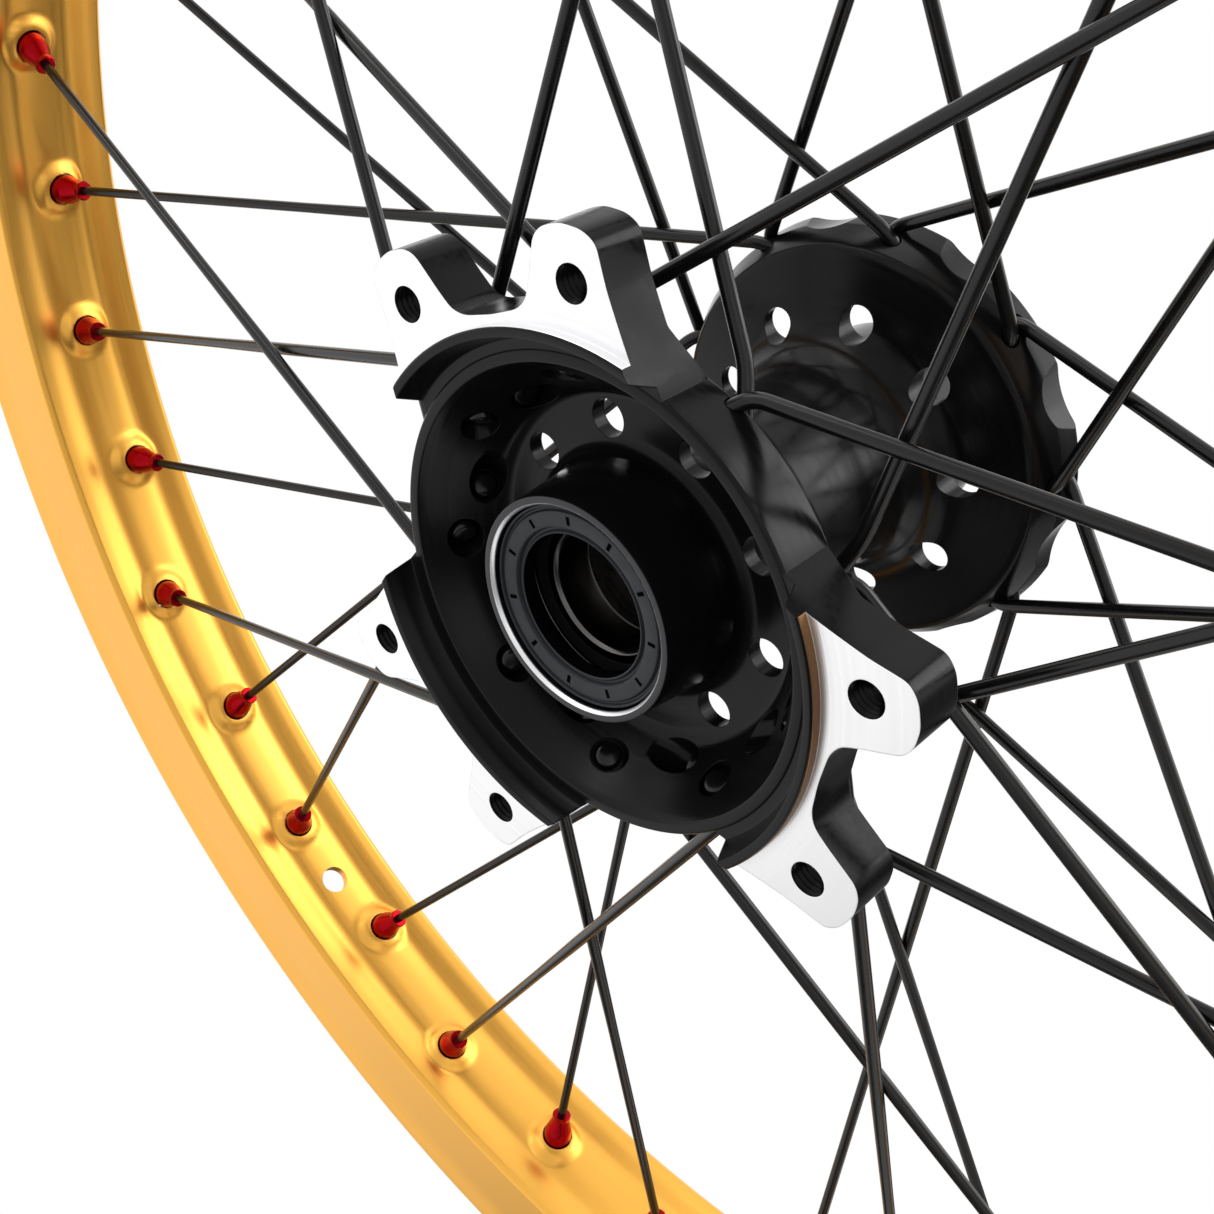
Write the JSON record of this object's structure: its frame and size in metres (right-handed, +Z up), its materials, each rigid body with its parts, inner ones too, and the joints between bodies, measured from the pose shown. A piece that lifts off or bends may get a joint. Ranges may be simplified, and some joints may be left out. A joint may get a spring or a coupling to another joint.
{
  "type": "spoked motorcycle wheel",
  "caption": "Laced front wheel of a light motorcycle: gold rim, black crossed spokes with red nipples, black dished hub with paired disc brake lugs.",
  "frame": {"origin": "on the wheel's axis, halfway between the two ends of the hub", "axes": "+Y along the axle from the disc brake side to the plain side, +X and +Z across the wheel as the picture shows it, +Z up"},
  "size_m": [0.562, 0.1079, 0.562],
  "materials": {
    "gold_anodised": "satin gold anodised",
    "black_anodised": "turned and milled, satin black anodised, with the disc faces machined bare",
    "black_spoke": "gloss black steel spoke with a red anodised nipple",
    "bearing_steel": "ground steel",
    "seal_rubber": "matt blue-black",
    "cage_brass": "pressed cage with its balls",
    "spacer_alloy": "plain turned"
  },
  "bodies": {
    "axle_core": {"axle_spacer": "spacer_alloy", "brake_inner_race": "bearing_steel", "plain_inner_race": "bearing_steel"},
    "wheel": {"hub_shell": "black_anodised", "rim": "gold_anodised", "spoke_brake_lead_1": "black_spoke", "spoke_brake_lead_2": "black_spoke", "spoke_brake_lead_3": "black_spoke", "spoke_brake_lead_4": "black_spoke", "spoke_brake_lead_5": "black_spoke", "spoke_brake_lead_6": "black_spoke", "spoke_brake_lead_7": "black_spoke", "spoke_brake_lead_8": "black_spoke", "spoke_brake_lead_9": "black_spoke", "spoke_brake_trail_1": "black_spoke", "spoke_brake_trail_2": "black_spoke", "spoke_brake_trail_3": "black_spoke", "spoke_brake_trail_4": "black_spoke", "spoke_brake_trail_5": "black_spoke", "spoke_brake_trail_6": "black_spoke", "spoke_brake_trail_7": "black_spoke", "spoke_brake_trail_8": "black_spoke", "spoke_brake_trail_9": "black_spoke", "spoke_plain_lead_1": "black_spoke", "spoke_plain_lead_2": "black_spoke", "spoke_plain_lead_3": "black_spoke", "spoke_plain_lead_4": "black_spoke", "spoke_plain_lead_5": "black_spoke", "spoke_plain_lead_6": "black_spoke", "spoke_plain_lead_7": "black_spoke", "spoke_plain_lead_8": "black_spoke", "spoke_plain_lead_9": "black_spoke", "spoke_plain_trail_1": "black_spoke", "spoke_plain_trail_2": "black_spoke", "spoke_plain_trail_3": "black_spoke", "spoke_plain_trail_4": "black_spoke", "spoke_plain_trail_5": "black_spoke", "spoke_plain_trail_6": "black_spoke", "spoke_plain_trail_7": "black_spoke", "spoke_plain_trail_8": "black_spoke", "spoke_plain_trail_9": "black_spoke", "brake_outer_race": "bearing_steel", "brake_bearing_shield": "seal_rubber", "brake_dust_seal": "seal_rubber", "plain_outer_race": "bearing_steel", "plain_bearing_shield": "seal_rubber", "plain_dust_seal": "seal_rubber"},
    "brake_balls": {"brake_ball_cage": "cage_brass"},
    "plain_balls": {"plain_ball_cage": "cage_brass"}
  },
  "joints": [
    {"name": "wheel_spin", "type": "hinge", "parent": "axle_core", "child": "wheel", "pos_m": [0, 0, 0], "axis": [0, 1, 0], "continuous": true},
    {"name": "brake_balls_roll", "type": "hinge", "parent": "axle_core", "child": "brake_balls", "pos_m": [0, -0.038, 0], "axis": [0, 1, 0], "continuous": true},
    {"name": "plain_balls_roll", "type": "hinge", "parent": "axle_core", "child": "plain_balls", "pos_m": [0, 0.039, 0], "axis": [0, 1, 0], "continuous": true}
  ],
  "couplings": [
    {"joint": "brake_balls_roll", "follows": "wheel_spin", "ratio": 0.5445},
    {"joint": "plain_balls_roll", "follows": "wheel_spin", "ratio": 0.5445}
  ]
}
